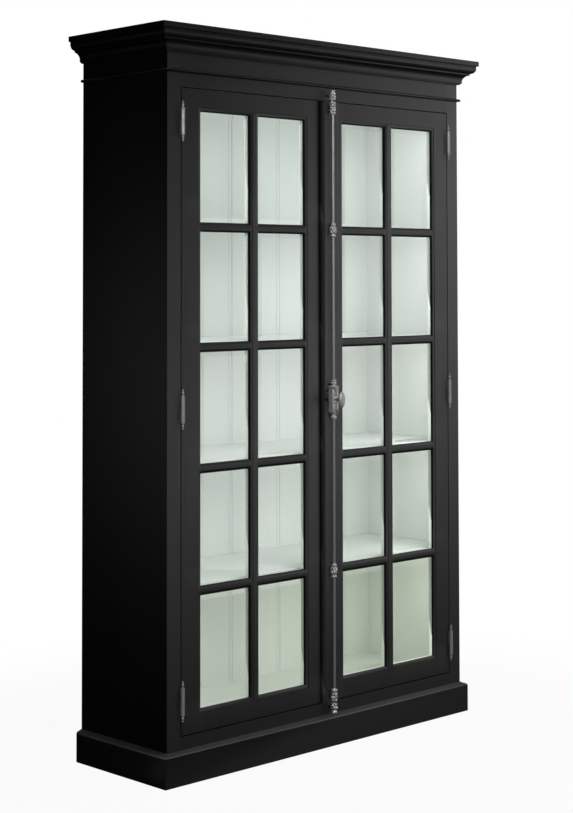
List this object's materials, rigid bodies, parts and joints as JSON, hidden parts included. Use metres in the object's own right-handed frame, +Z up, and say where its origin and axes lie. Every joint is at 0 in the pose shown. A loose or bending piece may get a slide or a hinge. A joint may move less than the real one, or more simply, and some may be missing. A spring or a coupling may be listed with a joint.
{
  "type": "glazed display cabinet",
  "caption": "Tall black-painted display cabinet with glazed inset doors, cremone bolt, stepped crown, plinth and white shelved interior.",
  "frame": {"origin": "bottom centre of the whole object's box, on the floor", "axes": "+Z up, -Y out of the glazed doors, +X to the right of someone facing the doors"},
  "size_m": [1.414, 0.506, 2.3],
  "materials": {
    "black_paint": "satin black paint on wood",
    "white_paint": "satin off-white paint on wood",
    "bare_wood": "unfinished planed softwood",
    "bevelled_glass": "clear polished float glass with ground and polished bevels",
    "antique_pewter": "antique pewter plating over cast metal, burnished on the high spots",
    "steel": "plain machined steel",
    "dark_screws": "browned steel countersunk screws",
    "brass_pins": "plain brass"
  },
  "bodies": {
    "carcass": {"back_boards": "white_paint", "back_rails": "bare_wood", "base_cap": "black_paint", "ceiling_panel": "white_paint", "cremone_keepers": "antique_pewter", "crown_front": "black_paint", "crown_returns": "black_paint", "face_bottom_rail": "black_paint", "face_stile_left": "black_paint", "face_stile_right": "black_paint", "face_top_rail": "black_paint", "floor_panel": "white_paint", "frieze_board": "black_paint", "hinge_frame_leaves": "antique_pewter", "hinge_pins": "antique_pewter", "hinge_screws_frame": "dark_screws", "neck_bead": "black_paint", "plinth_blocks": "bare_wood", "plinth_boards": "black_paint", "shelf_1": "white_paint", "shelf_2": "white_paint", "shelf_3": "white_paint", "shelf_4": "white_paint", "shelf_pins": "brass_pins", "side_liner_left": "white_paint", "side_liner_right": "white_paint", "side_panel_left": "black_paint", "side_panel_right": "black_paint", "top_board": "black_paint"},
    "left_door": {"left_bolt_plates": "steel", "left_bottom_rail": "black_paint", "left_glass": "bevelled_glass", "left_glazing_beads": "white_paint", "left_hinge_leaves": "antique_pewter", "left_hinge_screws": "dark_screws", "left_hinge_stile": "black_paint", "left_horizontal_muntins": "black_paint", "left_meeting_stile": "black_paint", "left_top_rail": "black_paint", "left_vertical_muntin": "black_paint"},
    "right_door": {"right_bottom_rail": "black_paint", "right_glass": "bevelled_glass", "right_glazing_beads": "white_paint", "right_hinge_leaves": "antique_pewter", "right_hinge_screws": "dark_screws", "right_hinge_stile": "black_paint", "right_horizontal_muntins": "black_paint", "right_meeting_stile": "black_paint", "right_top_rail": "black_paint", "right_vertical_muntin": "black_paint", "astragal": "black_paint", "cremone_case": "antique_pewter", "cremone_guides": "antique_pewter", "cremone_screws": "dark_screws"},
    "knob": {"cremone_knob": "antique_pewter", "cremone_spindle": "steel"},
    "upper_rod": {"cremone_rod_upper": "antique_pewter"},
    "lower_rod": {"cremone_rod_lower": "antique_pewter"},
    "upper_bolt": {"left_bolt_upper": "steel"},
    "lower_bolt": {"left_bolt_lower": "steel"}
  },
  "joints": [
    {"name": "left_door_hinge", "type": "hinge", "parent": "carcass", "child": "left_door", "pos_m": [-0.5965, -0.1905, 1.127], "axis": [0, 0, -1], "range_deg": [0, 120]},
    {"name": "right_door_hinge", "type": "hinge", "parent": "carcass", "child": "right_door", "pos_m": [0.5965, -0.1905, 1.127], "axis": [0, 0, 1], "range_deg": [0, 120]},
    {"name": "upper_rod_slide", "type": "slide", "parent": "right_door", "child": "upper_rod", "axis": [0, 0, 1], "range_m": [0, 0.01256]},
    {"name": "knob_turn", "type": "hinge", "parent": "right_door", "child": "knob", "pos_m": [0.0185, -0.2055, 1.128], "axis": [0, 1, 0], "range_deg": [0, 90]},
    {"name": "lower_rod_slide", "type": "slide", "parent": "right_door", "child": "lower_rod", "axis": [0, 0, -1], "range_m": [0, 0.01256]},
    {"name": "upper_bolt_slide", "type": "slide", "parent": "left_door", "child": "upper_bolt", "axis": [0, 0, 1], "range_m": [0, 0.014]},
    {"name": "lower_bolt_slide", "type": "slide", "parent": "left_door", "child": "lower_bolt", "axis": [0, 0, -1], "range_m": [0, 0.014]}
  ],
  "couplings": [
    {"joint": "knob_turn", "follows": "upper_rod_slide", "rad_per_m": 125},
    {"joint": "lower_rod_slide", "follows": "upper_rod_slide", "ratio": 1}
  ]
}
